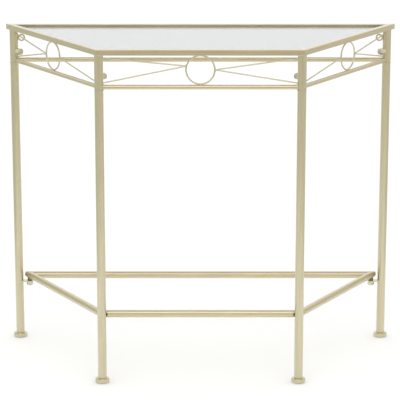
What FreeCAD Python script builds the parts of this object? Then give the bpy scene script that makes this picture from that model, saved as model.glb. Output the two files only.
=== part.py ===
"""Half-hexagon console table: a welded metal frame on four bolt-on legs, with a loose glass top.

Millimetres, +Z up. The origin is on the floor under the middle of the table, +X is to the right
along the long back edge, and the short front edge faces -Y.
"""
import math
import os

import FreeCAD
import Part

# ---- driving dimensions: the whole table ------------------------------------------------------
BACK_WIDTH = 870.0          # outer length of the long back edge
FRONT_WIDTH = 435.0         # outer length of the front edge, half of the back edge
DEPTH = 340.0               # outer depth of the top frame
HEIGHT = 730.0              # floor to the top of the frame

# top frame and glass
RAIL_SIZE = 12.0            # square tube of the top frame
RAIL_WALL = 1.2
RAIL_EDGE_RADIUS = 1.0
LEDGE_THICKNESS = 3.0       # the strips that carry the glass, flush with the rails' underside
LEDGE_WIDTH = 14.0
PAD_RADIUS = 3.5
PAD_HEIGHT = 1.0
PAD_SPREAD = 0.7            # the share of a ledge that lies between its two pads
GLASS_THICKNESS = 4.0
GLASS_SIDE_GAP = 1.5
GLASS_REST_GAP = 0.2        # the pane is its own body, so it stays this far above its pads
GLASS_CORNER_RADIUS = 5.0
GLASS_EDGE_CHAMFER = 0.5

# posts, legs and feet
TUBE_RADIUS = 9.5
TUBE_WALL = 1.2
POST_INSET = 9.75           # from the frame's outer faces to the axis of a post or leg
POST_BOTTOM = 645.5
LEG_SEAM_GAP = 0.8
LEG_LIP_RADIUS = 10.1       # the rolled lip round the top of a leg, under the seam
LEG_LIP_HEIGHT = 1.5
LEG_LIP_CHAMFER = 0.4
SPIGOT_RADIUS = 8.2
SPIGOT_WALL = 1.5
SPIGOT_BOTTOM = 600.0
SPIGOT_TOP = 705.0
FOOT_RADIUS = 15.5
FOOT_TOP = 10.0
FOOT_SHOULDER = 3.5
FOOT_LIP = 0.7
FOOT_PLUG_HEIGHT = 12.0
GLIDE_RADIUS = 14.2
GLIDE_HEIGHT = 1.5

# apron: lower rails, rings and crossed wires
APRON_RAIL_RADIUS = 5.0
APRON_RAIL_HEIGHT = 650.0
WIRE_RADIUS = 1.5
RING_WIRE_RADIUS = 1.75
RING_BITE = 0.3             # how far a ring is sunk into the rails that it is welded to
SIDE_RING_SETBACK = 8.0     # the side rings stand this far behind the middle of their panels
WIRE_TOP_DROP = 6.0         # upper wires meet the posts this far under the top rail
WIRE_BOTTOM_RISE = 7.0      # lower wires meet the posts this far above the lower rail's axis
FRONT_LEFT_JOINT_RISE = 8.0     # the front ring's left wires are welded on this far above its middle

# wall eyelets on the back posts
EYELET_RADIUS = 8.25
EYELET_BORE = 4.75
EYELET_THICKNESS = 3.0
EYELET_HEIGHT = 700.5
EYELET_OFFSET = 17.0        # from the post's axis to the eyelet's, towards the middle of the table

# lower frame
BAR_RADIUS = 8.0
BAR_WALL = 1.2
BAR_NOSE_RADIUS = 12.0      # the sharp tips of the mitred bars are rounded to this, seen from above
BAR_HEIGHT = 149.0
BAR_BACK_REACH = 392.5      # where the bars' axes meet, behind the front legs and beside the back legs
BAR_BACK_Y = 155.0
BAR_FRONT_REACH = 213.5
BAR_FRONT_Y = -142.4
BRACKET_THICKNESS = 3.0
BRACKET_WIDTH = 14.0
COLLAR_RADIUS = 5.5         # the collar that holds a corner of the lower frame off its bracket
COLLAR_HEIGHT = 5.5
STUD_TIP_DROP = 1.5         # from the nut's underside to the end of the stud

# M8 fasteners
BOLT_RADIUS = 4.0
HEX_ACROSS_FLATS = 13.0
HEX_HEAD_HEIGHT = 5.3
HEX_FACE_STEP = 0.2         # the turned face of a head or nut is this much inside its flats
BOLT_TIP_CHAMFER = 0.8
THREAD_BORE = 4.05
BOLT_HOLE = 4.4
NUT_HEIGHT = 6.5
LEG_BOLT_HEIGHT = 670.0
LEG_BOLT_TIP = 4.0          # from the post's axis to the tip of the bolt
BACK_BOLT_ANGLE = 35.0      # degrees that a bolt's axis turns away from X, towards the inside
FRONT_BOLT_ANGLE = 58.0

COPE_GAP = 0.05             # left where one round part is coped round another
CUT_MARGIN = 1.0            # how far a cutting shape stands out past what it cuts
NEAR = 0.01                 # the same place
PARALLEL = 1e-6             # the same direction

# ---- sizes worked out from them ---------------------------------------------------------------
SIDE_RUN = (BACK_WIDTH - FRONT_WIDTH) / 2
SIDE_ANGLE = math.atan2(DEPTH, SIDE_RUN)            # between the back edge and a side edge
RAIL_BOTTOM = HEIGHT - RAIL_SIZE
LEDGE_TOP = RAIL_BOTTOM + LEDGE_THICKNESS
GLASS_BOTTOM = LEDGE_TOP + PAD_HEIGHT + GLASS_REST_GAP
NUT_OUTER = TUBE_RADIUS + NUT_HEIGHT
BRACKET_TOP = BAR_HEIGHT - BAR_RADIUS - COLLAR_HEIGHT
BRACKET_BOTTOM = BRACKET_TOP - BRACKET_THICKNESS
APRON_RAIL_TOP = APRON_RAIL_HEIGHT + APRON_RAIL_RADIUS
RING_HEIGHT = (RAIL_BOTTOM + APRON_RAIL_TOP) / 2
RING_RADIUS = (RAIL_BOTTOM - APRON_RAIL_TOP) / 2 + RING_BITE - RING_WIRE_RADIUS

UP = FreeCAD.Vector(0, 0, 1)
CORNERS = ("back_left", "back_right", "front_right", "front_left")
SIDES = {
    "back": ("back_left", "back_right"),
    "right": ("back_right", "front_right"),
    "front": ("front_right", "front_left"),
    "left": ("front_left", "back_left"),
}


# ---- helpers ----------------------------------------------------------------------------------
def corner_point(corner, inset, z=0.0):
    """The table's corner, moved in by the same distance from both of its edges."""
    if corner.startswith("back"):
        x = BACK_WIDTH / 2 - inset / math.tan(SIDE_ANGLE / 2)
        y = DEPTH / 2 - inset
    else:
        x = FRONT_WIDTH / 2 - inset * math.tan(SIDE_ANGLE / 2)
        y = inset - DEPTH / 2
    if corner.endswith("left"):
        x = -x
    return FreeCAD.Vector(x, y, z)


def post_axis(corner, z=0.0):
    """A point on the axis of one corner's post and leg."""
    return corner_point(corner, POST_INSET, z)


def bar_axis(corner, z=0.0):
    """Where the axes of two bars of the lower frame meet."""
    x, y = (BAR_BACK_REACH, BAR_BACK_Y) if corner.startswith("back") else (BAR_FRONT_REACH, BAR_FRONT_Y)
    return FreeCAD.Vector(-x if corner.endswith("left") else x, y, z)


def directions_from(corner, place):
    """Unit directions along the two sides that leave a corner, for corners at a set of places."""
    directions = []
    for start, end in SIDES.values():
        if corner in (start, end):
            other = end if corner == start else start
            directions.append((place(other) - place(corner)).normalize())
    return directions


def prism(points, z_low, z_high):
    """An upright prism on an outline of points."""
    outline = [FreeCAD.Vector(p.x, p.y, z_low) for p in points]
    face = Part.Face(Part.makePolygon(outline + outline[:1]))
    return face.extrude(UP * (z_high - z_low))


def mitred_prism(side, outer_inset, inner_inset, z_low, z_high):
    """The stretch of a frame side between two insets, mitred at both of its corners."""
    start, end = SIDES[side]
    points = [corner_point(start, outer_inset), corner_point(end, outer_inset),
              corner_point(end, inner_inset), corner_point(start, inner_inset)]
    return prism(points, z_low, z_high)


def edges_along(shape, direction):
    """The straight edges of a shape that run along a direction."""
    return [edge for edge in shape.Edges if edge.tangentAt(0).cross(direction).Length < PARALLEL]


def circles_at(shape, centre):
    """The round edges of a shape with their middle at a point."""
    return [edge for edge in shape.Edges if edge.Closed and (edge.CenterOfMass - centre).Length < NEAR]


def rod(start, end, radius):
    """A round rod from one point to another."""
    return Part.makeCylinder(radius, (end - start).Length, start, end - start)


def tube(start, end, radius, wall):
    """A round tube, open at both ends."""
    return rod(start, end, radius).cut(rod(start, end, radius - wall))


def hexagon(start, direction, across_flats, height):
    """A hexagonal prism with flats above and below, or across the axis on an upright one."""
    prism_radius = across_flats / math.sqrt(3)
    points = []
    for step in range(7):
        turn = math.radians(60 * step)
        points.append(FreeCAD.Vector(prism_radius * math.cos(turn), prism_radius * math.sin(turn), 0))
    block = Part.Face(Part.makePolygon(points)).extrude(UP * height)
    block.Placement = FreeCAD.Placement(start, FreeCAD.Rotation(UP, direction))
    return block


def chamfered_hexagon(start, direction, across_flats, height):
    """A hexagon whose far corners are turned off, as on a bolt head or a nut."""
    block = hexagon(start, direction, across_flats, height)
    face_radius = across_flats / 2 - HEX_FACE_STEP
    return block.common(Part.makeCone(face_radius + height, face_radius, height, start, direction))


def hex_bolt(seat, direction, reach):
    """A hex bolt whose head sits on the seat, with its shank pointing against the direction."""
    head = chamfered_hexagon(seat, direction, HEX_ACROSS_FLATS, HEX_HEAD_HEIGHT)
    tip = seat - direction * reach
    shank = rod(tip, seat, BOLT_RADIUS)
    shank = shank.makeChamfer(BOLT_TIP_CHAMFER, circles_at(shank, tip))
    return head.fuse(shank).removeSplitter()


def post_cylinder(corner, radius, z_low=0.0, z_high=HEIGHT):
    """A solid cylinder on the axis of one corner's post and leg."""
    return rod(post_axis(corner, z_low), post_axis(corner, z_high), radius)


def post_tube(corner, radius, wall, z_low, z_high):
    """A tube on the axis of one corner's post and leg."""
    return tube(post_axis(corner, z_low), post_axis(corner, z_high), radius, wall)


def coped(shape, *corners):
    """A shape cut back round the posts or legs of some corners."""
    for corner in corners:
        shape = shape.cut(post_cylinder(corner, TUBE_RADIUS + COPE_GAP))
    return shape


def mitre_line(corner, place, half_width):
    """The outer and inner end of the mitre between the bars that meet at a corner."""
    first, second = directions_from(corner, place)
    bisector = (first + second).normalize()
    reach = bisector * (half_width / first.cross(bisector).Length)
    return place(corner) - reach, place(corner) + reach


def rounded_tips(bar, side, place, radius):
    """A mitred bar whose tips outside the joints are rounded, seen from above."""
    for corner in SIDES[side]:
        first, second = directions_from(corner, place)
        outward = (first + second).normalize() * -radius
        across = outward.cross(UP)
        joint = place(corner)
        block = prism([joint - across * 2, joint + across * 2, joint + across * 2 + outward * 2,
                       joint - across * 2 + outward * 2], 0, HEIGHT)
        bar = bar.cut(block.cut(rod(joint, joint + UP * HEIGHT, radius)))
    return bar


def mitred_bar(side, place, height, radius):
    """A solid round bar along one side at a height, mitred to the bars of the sides next to it."""
    half = radius + CUT_MARGIN
    (outer_start, inner_start), (outer_end, inner_end) = (mitre_line(corner, place, half)
                                                          for corner in SIDES[side])
    room = prism([outer_start, outer_end, inner_end, inner_start], height - half, height + half)
    start, end = (place(corner, height) for corner in SIDES[side])
    overrun = (end - start).normalize() * (outer_start - inner_start).Length
    return rod(start - overrun, end + overrun, radius).common(room)


def leg_bolt_direction(corner):
    """The way that a leg bolt points out of its post, towards the inside of the table."""
    if corner.startswith("back"):
        angle, towards = math.radians(BACK_BOLT_ANGLE), -1
    else:
        angle, towards = math.radians(FRONT_BOLT_ANGLE), 1
    sideways = 1 if corner.endswith("left") else -1
    return FreeCAD.Vector(sideways * math.cos(angle), towards * math.sin(angle), 0)


def leg_bolt_hole(corner):
    """The hole through one wall for a leg bolt."""
    axis = post_axis(corner, LEG_BOLT_HEIGHT)
    return rod(axis, axis + leg_bolt_direction(corner) * NUT_OUTER, BOLT_HOLE)


# ---- top frame and glass ----------------------------------------------------------------------
def top_rail(side):
    """A square tube of the top frame, mitred to its neighbours."""
    solid = mitred_prism(side, 0, RAIL_SIZE, RAIL_BOTTOM, HEIGHT)
    start, end = SIDES[side]
    along = (corner_point(end, 0) - corner_point(start, 0)).normalize()
    solid = solid.makeFillet(RAIL_EDGE_RADIUS, edges_along(solid, along))
    bore = mitred_prism(side, RAIL_WALL, RAIL_SIZE - RAIL_WALL,
                        RAIL_BOTTOM + RAIL_WALL, HEIGHT - RAIL_WALL)
    return solid.cut(bore)


def glass_ledge(side):
    """The strip inside a rail that carries the glass and closes the tops of the posts."""
    return mitred_prism(side, RAIL_SIZE, RAIL_SIZE + LEDGE_WIDTH, RAIL_BOTTOM, LEDGE_TOP)


def glass_pads():
    """Soft discs on the ledges, under the pane."""
    pads = []
    for start_corner, end_corner in SIDES.values():
        start, end = (corner_point(corner, RAIL_SIZE + LEDGE_WIDTH / 2, LEDGE_TOP)
                      for corner in (start_corner, end_corner))
        for share in (-PAD_SPREAD / 2, PAD_SPREAD / 2):
            pads.append(Part.makeCylinder(PAD_RADIUS, PAD_HEIGHT, (start + end) / 2 + (end - start) * share))
    return Part.makeCompound(pads)


def glass_pane():
    inset = RAIL_SIZE + GLASS_SIDE_GAP
    pane = prism([corner_point(corner, inset) for corner in CORNERS],
                 GLASS_BOTTOM, GLASS_BOTTOM + GLASS_THICKNESS)
    pane = pane.makeFillet(GLASS_CORNER_RADIUS, edges_along(pane, UP))
    rims = [edge for edge in pane.Edges if abs(edge.tangentAt(edge.FirstParameter).z) < PARALLEL]
    return pane.makeChamfer(GLASS_EDGE_CHAMFER, rims)


# ---- posts, legs and feet ---------------------------------------------------------------------
def post(corner):
    """The short tube under a corner of the top frame, with a hole for the leg bolt."""
    return post_tube(corner, TUBE_RADIUS, TUBE_WALL, POST_BOTTOM, RAIL_BOTTOM).cut(leg_bolt_hole(corner))


def leg(corner):
    """The long tube from the foot to the seam under the post, with a lip round its top."""
    top = POST_BOTTOM - LEG_SEAM_GAP
    lip = post_cylinder(corner, LEG_LIP_RADIUS, top - LEG_LIP_HEIGHT, top)
    lip = lip.makeChamfer(LEG_LIP_CHAMFER, circles_at(lip, post_axis(corner, top)))
    lip = lip.cut(post_cylinder(corner, TUBE_RADIUS - TUBE_WALL, 0, HEIGHT))
    return post_tube(corner, TUBE_RADIUS, TUBE_WALL, FOOT_TOP, top).fuse(lip).removeSplitter()


def spigot(corner):
    """The sleeve fixed in the top of a leg, which slides up into the post."""
    sleeve = post_tube(corner, SPIGOT_RADIUS, SPIGOT_WALL, SPIGOT_BOTTOM, SPIGOT_TOP)
    return sleeve.cut(leg_bolt_hole(corner))


def foot(corner):
    """A turned disc with a rounded shoulder, and a plug that goes up into the leg."""
    disc = post_cylinder(corner, FOOT_RADIUS, GLIDE_HEIGHT, FOOT_TOP)
    disc = disc.makeFillet(FOOT_SHOULDER, circles_at(disc, post_axis(corner, FOOT_TOP)))
    disc = disc.makeFillet(FOOT_LIP, circles_at(disc, post_axis(corner, GLIDE_HEIGHT)))
    return disc.fuse(post_cylinder(corner, SPIGOT_RADIUS, FOOT_TOP / 2, FOOT_TOP + FOOT_PLUG_HEIGHT))


def foot_glides():
    return Part.makeCompound([post_cylinder(corner, GLIDE_RADIUS, 0, GLIDE_HEIGHT) for corner in CORNERS])


# ---- apron ------------------------------------------------------------------------------------
def apron_rail(side):
    """The round lower rail between two posts."""
    bar = mitred_bar(side, post_axis, APRON_RAIL_HEIGHT, APRON_RAIL_RADIUS)
    return largest_solid(coped(bar, *SIDES[side]))


def ring_place(side):
    """Middle of the ring in a side's panel, and the direction along the panel."""
    start, end = (post_axis(corner, RING_HEIGHT) for corner in SIDES[side])
    along = (end - start).normalize()
    shift = {"right": -SIDE_RING_SETBACK, "front": 0.0, "left": SIDE_RING_SETBACK}[side]
    return (start + end) / 2 + along * shift, along


def apron_ring(side, rails):
    """The wire ring in the middle of a panel, coped to the rails above and below it."""
    centre, along = ring_place(side)
    ring = Part.makeTorus(RING_RADIUS, RING_WIRE_RADIUS, centre, along.cross(UP))
    for rail in rails:
        ring = ring.cut(rail)
    return ring


def wire_joint(side, corner, towards_post):
    """Where the wires from a post meet the ring's wire."""
    centre, along = ring_place(side)
    rise = FRONT_LEFT_JOINT_RISE if (side, corner) == ("front", "front_left") else 0.0
    return centre + towards_post * math.sqrt(RING_RADIUS ** 2 - rise ** 2) + UP * rise


def apron_wires(side, ring, rail):
    """The four straight wires of a panel, from the ends of the posts to the sides of the ring."""
    centre, along = ring_place(side)
    wires = {}
    for corner, towards_post in zip(SIDES[side], (-along, along)):
        joint = wire_joint(side, corner, towards_post)
        top = post_axis(corner, RAIL_BOTTOM - WIRE_TOP_DROP)
        bottom = post_axis(corner, APRON_RAIL_HEIGHT + WIRE_BOTTOM_RISE)
        upper = coped(rod(joint, top, WIRE_RADIUS), corner).cut(ring)
        lower = coped(rod(joint, bottom, WIRE_RADIUS), corner).cut(ring).cut(upper).cut(rail)
        wires["upper", corner] = largest_solid(upper)
        wires["lower", corner] = largest_solid(lower)
    return wires


def largest_solid(shape):
    """The main piece of a cut shape, without the crumbs that a cope can leave."""
    return max(shape.Solids, key=lambda solid: solid.Volume)


def wall_eyelets():
    """Flat rings on the inner sides of the back posts, for a screw or hook into the wall."""
    eyelets = []
    for corner, sideways in (("back_left", 1), ("back_right", -1)):
        offset = FreeCAD.Vector(sideways * EYELET_OFFSET, -EYELET_THICKNESS / 2, 0)
        front = post_axis(corner, EYELET_HEIGHT) + offset
        back = front + FreeCAD.Vector(0, EYELET_THICKNESS, 0)
        ring = rod(front, back, EYELET_RADIUS).cut(rod(front, back, EYELET_BORE))
        eyelets.append(coped(ring, corner))
    return Part.makeCompound(eyelets)


# ---- lower frame ------------------------------------------------------------------------------
def stretcher(side):
    """A round tube of the lower frame, mitred at both ends, with holes for the studs' collars."""
    bar = rounded_tips(mitred_bar(side, bar_axis, BAR_HEIGHT, BAR_RADIUS), side, bar_axis, BAR_NOSE_RADIUS)
    bore = mitred_bar(side, bar_axis, BAR_HEIGHT, BAR_RADIUS - BAR_WALL)
    bar = bar.cut(rounded_tips(bore, side, bar_axis, BAR_NOSE_RADIUS - BAR_WALL))
    for corner in SIDES[side]:
        bar = bar.cut(rod(bar_axis(corner, BRACKET_TOP), bar_axis(corner, BAR_HEIGHT + COPE_GAP),
                          COLLAR_RADIUS + COPE_GAP))
    return largest_solid(bar)


def stretcher_bracket(corner):
    """The strip welded to a leg, which carries a corner of the lower frame."""
    leg_centre = post_axis(corner, BRACKET_BOTTOM)
    stud_centre = bar_axis(corner, BRACKET_BOTTOM)
    half = (stud_centre - leg_centre).normalize().cross(UP) * (BRACKET_WIDTH / 2)
    strip = prism([leg_centre - half, leg_centre + half, stud_centre + half, stud_centre - half],
                  BRACKET_BOTTOM, BRACKET_TOP)
    round_end = Part.makeCylinder(BRACKET_WIDTH / 2, BRACKET_THICKNESS, stud_centre)
    plate = coped(strip.fuse(round_end).removeSplitter(), corner)
    return largest_solid(plate.cut(Part.makeCylinder(BOLT_HOLE, BRACKET_THICKNESS, stud_centre)))


def stretcher_studs():
    """Threaded studs with collars, fixed in the underside of the lower frame's corners."""
    studs = []
    for corner in CORNERS:
        top = bar_axis(corner, BAR_HEIGHT)
        tip = bar_axis(corner, BRACKET_BOTTOM - NUT_HEIGHT - STUD_TIP_DROP)
        thread = rod(tip, top, BOLT_RADIUS)
        thread = thread.makeChamfer(BOLT_TIP_CHAMFER, circles_at(thread, tip))
        collar = rod(bar_axis(corner, BRACKET_TOP), top, COLLAR_RADIUS)
        studs.append(thread.fuse(collar).removeSplitter())
    return Part.makeCompound(studs)


def stretcher_nuts():
    """Nuts under the brackets, which hold the lower frame down."""
    nuts = []
    for corner in CORNERS:
        seat = bar_axis(corner, BRACKET_BOTTOM)
        nut = chamfered_hexagon(seat, -UP, HEX_ACROSS_FLATS, NUT_HEIGHT)
        nuts.append(nut.cut(rod(seat, seat - UP * NUT_HEIGHT, THREAD_BORE)))
    return Part.makeCompound(nuts)


# ---- leg fasteners ----------------------------------------------------------------------------
def leg_bolt_nuts():
    """Nuts welded to the posts' inner sides."""
    nuts = []
    for corner in CORNERS:
        axis = post_axis(corner, LEG_BOLT_HEIGHT)
        direction = leg_bolt_direction(corner)
        inner = axis + direction * (TUBE_RADIUS / 2)
        nut = chamfered_hexagon(inner, direction, HEX_ACROSS_FLATS, NUT_OUTER - TUBE_RADIUS / 2)
        nut = nut.cut(rod(inner, axis + direction * NUT_OUTER, THREAD_BORE))
        nuts.append(largest_solid(coped(nut, corner)))
    return Part.makeCompound(nuts)


def leg_bolts():
    bolts = []
    for corner in CORNERS:
        axis = post_axis(corner, LEG_BOLT_HEIGHT)
        direction = leg_bolt_direction(corner)
        bolts.append(hex_bolt(axis + direction * NUT_OUTER, direction, NUT_OUTER - LEG_BOLT_TIP))
    return Part.makeCompound(bolts)


# ---- assembly ---------------------------------------------------------------------------------
def build():
    """Every sub-part by its node name."""
    nodes = {"glass_top": glass_pane(), "glass_pads": glass_pads()}
    for side in SIDES:
        nodes["top_rail_" + side] = top_rail(side)
        nodes["glass_ledge_" + side] = glass_ledge(side)
        nodes["apron_rail_" + side] = apron_rail(side)
        nodes["stretcher_" + side] = stretcher(side)
    for side in ("front", "left", "right"):
        lower_rail = nodes["apron_rail_" + side]
        ring = apron_ring(side, (nodes["top_rail_" + side], lower_rail))
        nodes["apron_ring_" + side] = ring
        for (level, corner), wire in apron_wires(side, ring, lower_rail).items():
            nodes["wire_%s_%s_at_%s" % (side, level, corner)] = wire
    for corner in CORNERS:
        nodes["post_" + corner] = post(corner)
        nodes["leg_" + corner] = leg(corner)
        nodes["leg_spigot_" + corner] = spigot(corner)
        nodes["foot_" + corner] = foot(corner)
        nodes["stretcher_bracket_" + corner] = stretcher_bracket(corner)
    nodes["foot_glides"] = foot_glides()
    nodes["wall_eyelets"] = wall_eyelets()
    nodes["stretcher_studs"] = stretcher_studs()
    nodes["stretcher_nuts"] = stretcher_nuts()
    nodes["leg_bolt_nuts"] = leg_bolt_nuts()
    nodes["leg_bolts"] = leg_bolts()
    return nodes


def main():
    os.makedirs("parts", exist_ok=True)
    for name, shape in build().items():
        shape.exportStep("parts/%s.step" % name)
        print("%-36s solids %2d  volume %9.1f mm3  valid %s"
              % (name, len(shape.Solids), shape.Volume, shape.isValid()))


main()
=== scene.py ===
"""A half-hexagon console table in champagne-gold metal with a clear glass pane.

The CAD frame gets its materials and its weld beads here. Metres, +Z up. The long back edge lies
along +X at +Y, and the short front edge faces -Y.
"""
import math

import bpy
from mathutils import Matrix, Vector


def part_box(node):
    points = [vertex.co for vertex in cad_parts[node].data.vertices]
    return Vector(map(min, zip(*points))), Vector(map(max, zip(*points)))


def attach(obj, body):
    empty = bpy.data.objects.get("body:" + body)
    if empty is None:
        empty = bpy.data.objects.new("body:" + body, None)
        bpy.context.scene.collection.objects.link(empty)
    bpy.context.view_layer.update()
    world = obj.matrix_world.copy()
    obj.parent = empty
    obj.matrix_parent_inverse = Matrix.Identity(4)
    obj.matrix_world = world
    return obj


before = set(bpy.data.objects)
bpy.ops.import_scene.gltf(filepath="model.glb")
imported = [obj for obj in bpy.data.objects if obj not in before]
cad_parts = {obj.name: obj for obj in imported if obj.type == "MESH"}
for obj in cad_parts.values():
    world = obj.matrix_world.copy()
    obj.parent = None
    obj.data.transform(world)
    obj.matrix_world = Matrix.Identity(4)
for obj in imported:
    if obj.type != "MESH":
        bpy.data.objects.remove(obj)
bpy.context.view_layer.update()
mm = 0.001

UP = Vector((0, 0, 1))
SIDES = {
    "back": ("back_left", "back_right"),
    "right": ("back_right", "front_right"),
    "front": ("front_right", "front_left"),
    "left": ("front_left", "back_left"),
}
CORNERS = ("back_left", "back_right", "front_right", "front_left")
NEIGHBOURS = {end: start for start, end in SIDES.values()}


# ---- materials --------------------------------------------------------------------------------
RGBA = {"data_type": "RGBA"}        # makes a Mix node mix colours
NOISE_LOW, NOISE_HIGH = 0.3, 0.7    # nearly all of a noise texture lies between these
FLAKE = 0.7 * mm                    # ten times as coarse as a real flake, so that it shows
GLASS_IOR = 1.52
VINYL_IOR = 1.52
POLYETHYLENE_IOR = 1.5


def linear(hex_colour):
    """An sRGB hex colour as linear red, green, blue and alpha."""
    channels = [int(hex_colour[i:i + 2], 16) / 255 for i in (1, 3, 5)]
    return [c / 12.92 if c <= 0.04045 else ((c + 0.055) / 1.055) ** 2.4 for c in channels] + [1.0]


def add(tree, kind, settings=None, **inputs):
    """Adds a node with its settings, and gives each input a value or a link.

    An input goes by its name, or by its number, as i0 or i6.
    """
    node = tree.nodes.new(kind)
    for name, value in (settings or {}).items():
        setattr(node, name, value)
    for name, value in inputs.items():
        key = int(name[1:]) if name[1:].isdigit() else name.replace("_", " ")
        socket = node.inputs[key]
        if isinstance(value, bpy.types.NodeSocket):
            tree.links.new(value, socket)
        else:
            socket.default_value = value
    return node


def new_material(name):
    """An empty material with a Principled shader on its output."""
    material = bpy.data.materials.new(name)
    material.use_nodes = True
    tree = material.node_tree
    tree.nodes.clear()
    shader = add(tree, "ShaderNodeBsdfPrincipled")
    add(tree, "ShaderNodeOutputMaterial", Surface=shader.outputs["BSDF"])
    return material, tree, shader


def mottle(tree, place, size, low, high, detail=2.0):
    """Noise with spots of a real size, spread between two values."""
    spots = add(tree, "ShaderNodeTexNoise", Vector=place, Scale=1 / size, Detail=detail)
    spread = add(tree, "ShaderNodeMapRange", i0=spots.outputs[0], i1=NOISE_LOW, i2=NOISE_HIGH,
                 i3=low, i4=high)
    return spread.outputs[0]


def champagne_coat(name, turn, stretch, warm, cool, line, spark, gloss=0.27):
    """Metallic champagne paint baked on drawn steel tube.

    Fine flakes make it sparkle, a slight orange peel softens its highlights, its tone drifts from
    warm to greenish, and the draw lines of the tube show faintly along it, under the paint.
    """
    material, tree, shader = new_material(name)
    place = add(tree, "ShaderNodeTexCoord").outputs["Object"]
    laid = add(tree, "ShaderNodeMapping", Vector=place, Rotation=(0, 0, turn)).outputs[0]
    drawn = add(tree, "ShaderNodeMapping", Vector=laid, Scale=stretch).outputs[0]
    drift = mottle(tree, place, 85 * mm, 0.0, 1.0)
    lines = mottle(tree, drawn, 1.6 * mm, 0.0, 1.0)
    flakes = mottle(tree, place, FLAKE, 0.0, 1.0, detail=0.0)
    tone = add(tree, "ShaderNodeMix", RGBA, i0=drift, i6=linear(warm), i7=linear(cool))
    lined = add(tree, "ShaderNodeMix", RGBA, i0=lines, i6=linear(line), i7=tone.outputs[2])
    shade = add(tree, "ShaderNodeMapRange", i0=flakes, i3=0.25, i4=0.0)
    sparkle = add(tree, "ShaderNodeMix", RGBA, i0=shade.outputs[0], i6=lined.outputs[2],
                  i7=linear(spark))
    along = mottle(tree, drawn, 2.4 * mm, gloss, gloss + 0.08)
    handled = mottle(tree, place, 40 * mm, -0.02, 0.03)
    rough = add(tree, "ShaderNodeMath", {"operation": "ADD"}, i0=along, i1=handled)
    ripples = mottle(tree, place, 2.6 * mm, 0.0, 1.0)
    peel = add(tree, "ShaderNodeBump", Height=ripples, Strength=0.25, Distance=0.06 * mm)
    fine = add(tree, "ShaderNodeBump", Height=lines, Normal=peel.outputs[0], Strength=0.2,
               Distance=0.04 * mm)
    for socket, value in (("Base Color", sparkle.outputs[2]), ("Roughness", rough.outputs[0]),
                          ("Normal", fine.outputs[0])):
        tree.links.new(value, shader.inputs[socket])
    shader.inputs["Metallic"].default_value = 0.96
    shader.inputs["Coat Weight"].default_value = 0.9
    shader.inputs["Coat Roughness"].default_value = 0.12
    return material


def plated_steel(name, bright, dull):
    """Zinc plate on steel: a grey metal with small cloudy crystals and a soft, uneven gloss."""
    material, tree, shader = new_material(name)
    place = add(tree, "ShaderNodeTexCoord").outputs["Object"]
    cloud = mottle(tree, place, 3.5 * mm, 0.0, 1.0, detail=4.0)
    colour = add(tree, "ShaderNodeMix", RGBA, i0=cloud, i6=linear(bright), i7=linear(dull))
    pits = add(tree, "ShaderNodeBump", Height=mottle(tree, place, 0.9 * mm, 0.0, 1.0), Strength=0.3,
               Distance=0.05 * mm)
    tree.links.new(colour.outputs[2], shader.inputs["Base Color"])
    tree.links.new(mottle(tree, place, 2.0 * mm, 0.28, 0.45), shader.inputs["Roughness"])
    tree.links.new(pits.outputs[0], shader.inputs["Normal"])
    shader.inputs["Metallic"].default_value = 1.0
    return material


def clear_glass():
    """Polished float glass, 4 mm, with faint smears.

    It is clear from above and greenish at its edge; its grey at a low angle is painted shade, in
    place of the darker studio it reflects there.
    """
    material, tree, shader = new_material("clear_float_glass")
    place = add(tree, "ShaderNodeTexCoord").outputs["Object"]
    normal = add(tree, "ShaderNodeNewGeometry").outputs["True Normal"]
    upright = add(tree, "ShaderNodeSeparateXYZ", Vector=normal).outputs["Z"]
    face = add(tree, "ShaderNodeMath", {"operation": "ABSOLUTE"}, i0=upright)
    ground = add(tree, "ShaderNodeMapRange", i0=face.outputs[0], i1=0.2, i2=0.9)
    slant = add(tree, "ShaderNodeLayerWeight").outputs["Facing"]
    # painted shade: the pane's colour turns grey towards a grazing view, in place of the darker
    # reflection there
    pane_with_grazing_shade = add(tree, "ShaderNodeMix", RGBA, i0=slant, i6=linear("#f0f3f2"), i7=linear("#a8acab"))
    colour = add(tree, "ShaderNodeMix", RGBA, i0=ground.outputs[0], i6=linear("#a9cdbb"),
                 i7=pane_with_grazing_shade.outputs[2])
    smear = mottle(tree, place, 120 * mm, 0.008, 0.035, detail=3.0)
    tree.links.new(colour.outputs[2], shader.inputs["Base Color"])
    tree.links.new(smear, shader.inputs["Roughness"])
    shader.inputs["IOR"].default_value = GLASS_IOR
    shader.inputs["Transmission Weight"].default_value = 1.0
    return material


def soft_vinyl():
    """Moulded clear vinyl: milky, with a satin face and a faint mottle."""
    material, tree, shader = new_material("soft_clear_vinyl")
    place = add(tree, "ShaderNodeTexCoord").outputs["Object"]
    milk = mottle(tree, place, 1.5 * mm, 0.0, 1.0, detail=3.0)
    colour = add(tree, "ShaderNodeMix", RGBA, i0=milk, i6=linear("#e9ebea"), i7=linear("#dfe2df"))
    tree.links.new(colour.outputs[2], shader.inputs["Base Color"])
    tree.links.new(mottle(tree, place, 1.0 * mm, 0.3, 0.45), shader.inputs["Roughness"])
    shader.inputs["IOR"].default_value = VINYL_IOR
    shader.inputs["Transmission Weight"].default_value = 0.7
    return material


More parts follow.
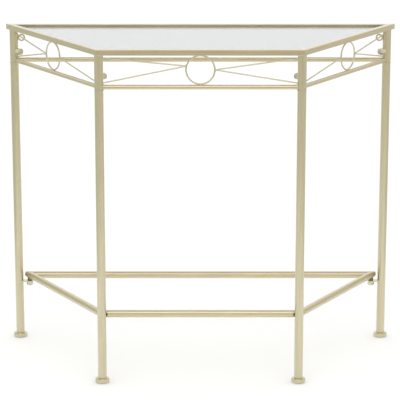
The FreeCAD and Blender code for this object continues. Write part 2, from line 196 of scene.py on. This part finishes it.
def moulded_plastic():
    """Moulded polyethylene: pale, matt and finely spark-textured, scuffed where it slides."""
    material, tree, shader = new_material("moulded_pale_polyethylene")
    place = add(tree, "ShaderNodeTexCoord").outputs["Object"]
    scuffs = mottle(tree, place, 4 * mm, 0.0, 1.0, detail=5.0)
    colour = add(tree, "ShaderNodeMix", RGBA, i0=scuffs, i6=linear("#d8d4c4"), i7=linear("#c3bfae"))
    grains = mottle(tree, place, 0.5 * mm, 0.0, 1.0)
    texture = add(tree, "ShaderNodeBump", Height=grains, Strength=0.4, Distance=0.05 * mm)
    tree.links.new(colour.outputs[2], shader.inputs["Base Color"])
    tree.links.new(mottle(tree, place, 2.0 * mm, 0.45, 0.6), shader.inputs["Roughness"])
    tree.links.new(texture.outputs[0], shader.inputs["Normal"])
    shader.inputs["IOR"].default_value = POLYETHYLENE_IOR
    return material


def middle(node):
    """The middle of a node's box."""
    low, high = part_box(node)
    return (low + high) / 2


def extent(node):
    """The length, depth and height of a node's box."""
    low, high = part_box(node)
    return high - low


def heading(start, end):
    """The turn about Z that brings the line between two nodes onto X."""
    run = middle(end) - middle(start)
    return math.atan2(run.y, run.x)


# how finely the draw lines repeat along X, Y and Z: they run along the tube
LENGTHWISE = (0.02, 1, 1)
UPRIGHT = (1, 1, 0.02)
EVEN = (1, 1, 1)
# a batch of paint: its warm tone, its greenish tone, its draw lines and its sparkle
WARM_BATCH = ("#d4c4a1", "#cec3a0", "#bfb28f", "#eae0c4")
PALE_BATCH = ("#d5ceb3", "#cecab0", "#c0bb9f", "#e9e4d0")
COOL_BATCH = ("#d4c9a8", "#cdc7a6", "#c0b899", "#e8e1c9")
coats = {side: champagne_coat("champagne_coat_along_the_%s_side" % side,
                              -heading("post_" + start, "post_" + end), LENGTHWISE, *WARM_BATCH)
         for side, (start, end) in SIDES.items()}
upright_coat = champagne_coat("champagne_coat_on_upright_tube", 0.0, UPRIGHT, *COOL_BATCH)
plain_coat = champagne_coat("champagne_coat_on_small_parts", 0.0, EVEN, *COOL_BATCH)
wire_coat = champagne_coat("champagne_coat_on_bright_wire", 0.0, EVEN, *PALE_BATCH)
turned_coat = champagne_coat("champagne_coat_on_turned_feet", 0.0, EVEN, *COOL_BATCH, gloss=0.13)
zinc = plated_steel("zinc_plated_bolt", "#dedac9", "#bcb7a4")
# painted shade: the stud's dark colours stand in for the shade in the gap between the bar and the
# bracket
gap_shaded_stud = plated_steel("zinc_stud_darkened_as_painted_shade", "#8a7d60", "#5f563f")     # painted shade of the gap between bar and bracket
glass = clear_glass()
vinyl = soft_vinyl()
plastic = moulded_plastic()
FINISHES = {"glass_top": glass, "glass_pads": vinyl, "foot_glides": plastic, "leg_bolts": zinc,
            "stretcher_nuts": zinc, "stretcher_studs": gap_shaded_stud}
ALONG_A_SIDE = ("top_rail_", "apron_rail_", "stretcher_", "glass_ledge_")


def finish_of(node):
    """The material of a CAD node, from its name."""
    if node in FINISHES:
        return FINISHES[node]
    if node.startswith(("leg_back", "leg_front", "post_", "leg_spigot_")):
        return upright_coat
    if node.startswith("foot_"):
        return turned_coat
    if node.startswith(("wire_", "apron_ring_")):
        return wire_coat
    for side, coat in coats.items():
        if node in [kind + side for kind in ALONG_A_SIDE]:
            return coat
    return plain_coat


for name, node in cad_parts.items():
    node.data.materials.clear()
    node.data.materials.append(finish_of(name))


# ---- weld beads -------------------------------------------------------------------------------
post_radius = extent("post_back_left").x / 2
rail_radius = extent("apron_rail_back").z / 2
rail_axis = middle("apron_rail_back").z
frame_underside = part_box("top_rail_back")[0].z
bar_radius = extent("stretcher_back").z / 2
wire_radius = 1.5 * mm
collar_radius = 5.5 * mm
bracket_width = 14 * mm
# degrees that a leg bolt turns away from X, towards the inside
BOLT_ANGLES = {"back": -35, "front": 58}

THICK, THIN = 0.8 * mm, 0.7 * mm            # half the thickness of a bead
RIPPLE, FINE_RIPPLE = 1.0 * mm, 0.6 * mm
RIPPLE_DIP = 0.8                            # the thickness between two ripples, as a share
SAME_ROW = 2e-6                             # points this close in Y are lowered together
ON_FLAT = 0                                 # stands for a post's radius where there is no post
# half the height and half the width of the joints
RING_TOUCH = (4.0 * mm, 1.7 * mm)
WIRE_PAIR = (2.6 * mm, wire_radius)
NUT_RIM = (6.9 * mm, 6.9 * mm)
BRACKET_END = (1.7 * mm, 6.8 * mm)
EYELET_RIM = (3.6 * mm, 1.6 * mm)


def bead_loop(half_height, half_width, post_radius, thickness, ripple=RIPPLE, whole=True):
    """A rippled bead round a joint, lying on a post that stands along X and bends away from Z.

    A bead that isn't whole goes only round the half towards +X.
    """
    points = 4 * round(math.pi * (half_height + half_width) / ripple / 4)
    bpy.ops.object.select_all(action="DESELECT")
    bpy.ops.mesh.primitive_circle_add(vertices=points, radius=1, location=(0, 0, 0))
    loop = bpy.context.object
    bpy.ops.object.mode_set(mode="EDIT")
    bpy.ops.transform.resize(value=(half_height, half_width, 1))
    if not whole:
        bpy.ops.mesh.bisect(plane_co=(0, 0, 0), plane_no=(1, 0, 0), clear_inner=True)
    bpy.ops.mesh.select_all(action="DESELECT")
    bpy.ops.object.mode_set(mode="OBJECT")
    if post_radius:
        for row in sorted({round(abs(v.co.y), 6) for v in loop.data.vertices}):
            for v in loop.data.vertices:
                v.select = abs(abs(v.co.y) - row) < SAME_ROW
            drop = post_radius - math.sqrt(post_radius ** 2 - row ** 2)
            bpy.ops.object.mode_set(mode="EDIT")
            bpy.ops.transform.translate(value=(0, 0, -drop))
            bpy.ops.mesh.select_all(action="DESELECT")
            bpy.ops.object.mode_set(mode="OBJECT")
    bpy.ops.object.convert(target="CURVE")
    loop.data.bevel_depth = thickness
    loop.data.bevel_resolution = 2
    loop.data.use_fill_caps = True
    for spline in loop.data.splines:
        for i, point in enumerate(spline.points):
            point.radius = 1.0 if i % 2 else RIPPLE_DIP
    bpy.ops.object.convert(target="MESH")
    bpy.ops.object.shade_smooth()
    return bpy.context.object


def axes(origin, up, outward):
    """A placing matrix: X of the bead along up, Z of the bead outward."""
    z = outward.normalized()
    x = (up - z * up.dot(z)).normalized()
    y = z.cross(x)
    return Matrix.Translation(origin) @ Matrix((x, y, z)).transposed().to_4x4()


def weld(bead, name, place):
    """A copy of a bead, put in its place."""
    piece = bpy.data.objects.new(name, bead.data.copy())
    bpy.context.scene.collection.objects.link(piece)
    piece.data.transform(place)
    piece.data.materials.clear()
    piece.data.materials.append(plain_coat)
    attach(piece, "frame")


def post_point(corner, z):
    """The point at a height on a post's axis."""
    point = middle("post_" + corner)
    point.z = z
    return point


def towards(start, end):
    """The direction from one point to another."""
    return (end - start).normalized()


def bar_joint(corner, z):
    """Where the axes of two bars of the lower frame meet."""
    low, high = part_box("stretcher_studs")
    if corner.startswith("back"):
        x, y = high.x - collar_radius, high.y - collar_radius
    else:
        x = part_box("stretcher_bracket_front_right")[1].x - bracket_width / 2
        y = low.y + collar_radius
    return Vector((-x if corner.endswith("left") else x, y, z))


rail_bead = bead_loop(rail_radius, rail_radius, post_radius, THICK)
post_bead = bead_loop(post_radius, post_radius, ON_FLAT, THIN)
ring_bead = bead_loop(*RING_TOUCH, ON_FLAT, THIN)
wire_bead = bead_loop(wire_radius, wire_radius, ON_FLAT, THIN, FINE_RIPPLE)
joint_bead = bead_loop(*WIRE_PAIR, ON_FLAT, THICK, FINE_RIPPLE)
nut_bead = bead_loop(*NUT_RIM, post_radius, THICK)
bracket_bead = bead_loop(*BRACKET_END, post_radius, THICK)
eyelet_bead = bead_loop(*EYELET_RIM, ON_FLAT, THICK)

for side, (start, end) in SIDES.items():
    for corner, other in ((start, end), (end, start)):
        out = towards(post_point(corner, rail_axis), post_point(other, rail_axis))
        at = post_point(corner, rail_axis) + out * post_radius
        weld(rail_bead, "weld_apron_rail_%s_at_%s" % (side, corner), axes(at, UP, out))

for corner in CORNERS:
    post_top = post_point(corner, frame_underside)
    weld(post_bead, "weld_post_top_" + corner, axes(post_top, Vector((1, 0, 0)), UP))

for side in ("front", "left", "right"):
    start, end = SIDES[side]
    ring = "apron_ring_" + side
    low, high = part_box(ring)
    centre = (low + high) / 2
    along = towards(post_point(start, 0), post_point(end, 0))
    for level, height in (("top", frame_underside), ("bottom", rail_axis + rail_radius)):
        weld(ring_bead, "weld_%s_%s" % (ring, level),
             axes(Vector((centre.x, centre.y, height)), along, UP))
    for corner, out in ((start, -along), (end, along)):
        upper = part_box("wire_%s_upper_at_%s" % (side, corner))
        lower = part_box("wire_%s_lower_at_%s" % (side, corner))
        joint_height = (upper[0].z + lower[1].z) / 2
        ring_radius = (high.z - low.z) / 2
        rise = joint_height - centre.z
        reach = math.sqrt(max(ring_radius ** 2 - rise ** 2, 0.0))
        joint = centre + out * reach + UP * rise
        weld(joint_bead, "weld_wires_%s_to_ring_at_%s" % (side, corner), axes(joint, UP, out))
        heights = {"upper": upper[1].z - wire_radius, "lower": lower[0].z + wire_radius}
        for level, height in heights.items():
            target = post_point(corner, height) - out * post_radius
            weld(wire_bead, "weld_wire_%s_%s_at_%s" % (side, level, corner),
                 axes(target, UP, towards(target, joint)))

nuts_height = middle("leg_bolt_nuts").z
eyelet_height = middle("wall_eyelets").z
for corner in CORNERS:
    inside = 1 if corner.endswith("left") else -1
    angle = math.radians(BOLT_ANGLES[corner.split("_")[0]])
    out = Vector((inside * math.cos(angle), math.sin(angle), 0))
    weld(nut_bead, "weld_leg_bolt_nut_" + corner,
         axes(post_point(corner, nuts_height) + out * post_radius, UP, out))
    bracket_height = middle("stretcher_bracket_" + corner).z
    leg_axis = post_point(corner, bracket_height)
    out = towards(leg_axis, bar_joint(corner, bracket_height))
    weld(bracket_bead, "weld_stretcher_bracket_" + corner,
         axes(leg_axis + out * post_radius, UP, out))
    if corner.startswith("back"):
        out = Vector((inside, 0, 0))
        weld(eyelet_bead, "weld_wall_eyelet_" + corner,
             axes(post_point(corner, eyelet_height) + out * post_radius, UP, out))

bar_height = middle("stretcher_back").z
for side, (start, end) in SIDES.items():
    before, after = NEIGHBOURS[start], end
    joint = bar_joint(start, bar_height)
    first = towards(joint, bar_joint(before, bar_height))
    second = towards(joint, bar_joint(after, bar_height))
    inward = (first + second).normalized()
    reach = bar_radius / first.cross(inward).length
    mitre_bead = bead_loop(reach, bar_radius, ON_FLAT, THIN, whole=False)
    weld(mitre_bead, "weld_stretcher_mitre_" + start, axes(joint, inward, inward.cross(UP)))
    bpy.data.objects.remove(mitre_bead)

bpy.ops.object.select_all(action="DESELECT")
for bead in (rail_bead, post_bead, ring_bead, wire_bead, joint_bead, nut_bead, bracket_bead,
             eyelet_bead):
    bpy.data.objects.remove(bead)


# ---- floor, light and camera ------------------------------------------------------------------
FLOOR_SIZE = 60
FLOOR_DROP = 0.5 * mm       # keeps the floor just clear of the glides
WORLD_STRENGTH = 1.07
QUARTER = math.pi / 2
ALONG_X, ALONG_Y, LEVEL = (QUARTER, 0, 0), (QUARTER, 0, QUARTER), (0, 0, 0)
# middle, turn, width and height, colour, strength
FLAGS = {
    "front_low_flag": ((0, -1.3, 0.18), ALONG_X, (3.0, 0.36), "#e4e2d8", 1.0),
    "front_high_flag": ((0, -1.3, 0.68), ALONG_X, (3.0, 0.64), "#d4cec3", 1.0),
    "left_flag": ((-1.1, 0, 0.45), ALONG_Y, (2.4, 0.9), "#d8ddd4", 1.0),
    "right_flag": ((1.1, 0, 0.45), ALONG_Y, (2.4, 0.9), "#e3e1d8", 1.0),
    "overhead_flag": ((0, 0.45, 2.2), LEVEL, (3.0, 1.7), "#d6d4cc", 0.9),
}
SENSOR_WIDTH = 36           # mm
FOCAL_LENGTH = 180.9        # mm
CAMERA_PLACE = (-0.0009, -4.287, 1.457)
CAMERA_PITCH = 14.28        # degrees below level


def floor():
    """A wide matt floor, under the feet."""
    bpy.ops.object.select_all(action="DESELECT")
    bpy.ops.mesh.primitive_plane_add(size=FLOOR_SIZE, location=(0, 0, -FLOOR_DROP))
    plane = bpy.context.object
    plane.name = "studio_floor"
    material, tree, shader = new_material("matt_white_floor")
    shader.inputs["Base Color"].default_value = linear("#fbfbfa")
    shader.inputs["Roughness"].default_value = 0.9
    plane.data.materials.append(material)


def soft_box(name, place, aim, size, power):
    """A rectangular lamp that points at a place."""
    lamp = bpy.data.lights.new(name, "AREA")
    lamp.shape = "RECTANGLE"
    lamp.size, lamp.size_y = size
    lamp.energy = power
    holder = bpy.data.objects.new(name, lamp)
    holder.location = place
    holder.rotation_euler = (Vector(aim) - Vector(place)).to_track_quat("-Z", "Y").to_euler()
    bpy.context.scene.collection.objects.link(holder)


def flag(name, place, turn, size, colour, strength):
    """A pale panel that shows only in reflections, and gives the metal its darker bands."""
    bpy.ops.object.select_all(action="DESELECT")
    bpy.ops.mesh.primitive_plane_add(size=1, location=place, rotation=turn)
    panel = bpy.context.object
    panel.name = name
    panel.scale = (size[0], size[1], 1)
    bpy.ops.object.transform_apply(location=True, rotation=True, scale=True)
    material = bpy.data.materials.new(name)
    material.use_nodes = True
    tree = material.node_tree
    tree.nodes.clear()
    glow = add(tree, "ShaderNodeEmission", Color=linear(colour), Strength=strength)
    add(tree, "ShaderNodeOutputMaterial", Surface=glow.outputs[0])
    panel.data.materials.append(material)
    for ray in ("camera", "diffuse", "transmission", "shadow", "volume_scatter"):
        setattr(panel, "visible_" + ray, False)


def studio():
    """A pale surround, one large lamp and the flags."""
    world = bpy.data.worlds.new("pale_studio")
    world.use_nodes = True
    background = world.node_tree.nodes["Background"]
    background.inputs["Color"].default_value = (1, 1, 1, 1)
    background.inputs["Strength"].default_value = WORLD_STRENGTH
    bpy.context.scene.world = world
    soft_box("overhead_soft_box", place=(0, -2.2, 2.6), aim=(0, 0, 0.4), size=(3.2, 1.6), power=13)
    for name, panel in FLAGS.items():
        flag(name, *panel)


def camera():
    """A long lens in front of the table, looking slightly down."""
    lens = bpy.data.cameras.new("camera")
    lens.sensor_width = SENSOR_WIDTH
    lens.lens = FOCAL_LENGTH
    lens.clip_end = 100
    view = bpy.data.objects.new("camera", lens)
    view.location = CAMERA_PLACE
    view.rotation_euler = (math.radians(90 - CAMERA_PITCH), 0, 0)
    bpy.context.scene.collection.objects.link(view)
    bpy.context.scene.camera = view


floor()
studio()
camera()
bpy.context.scene.view_settings.view_transform = "Standard"
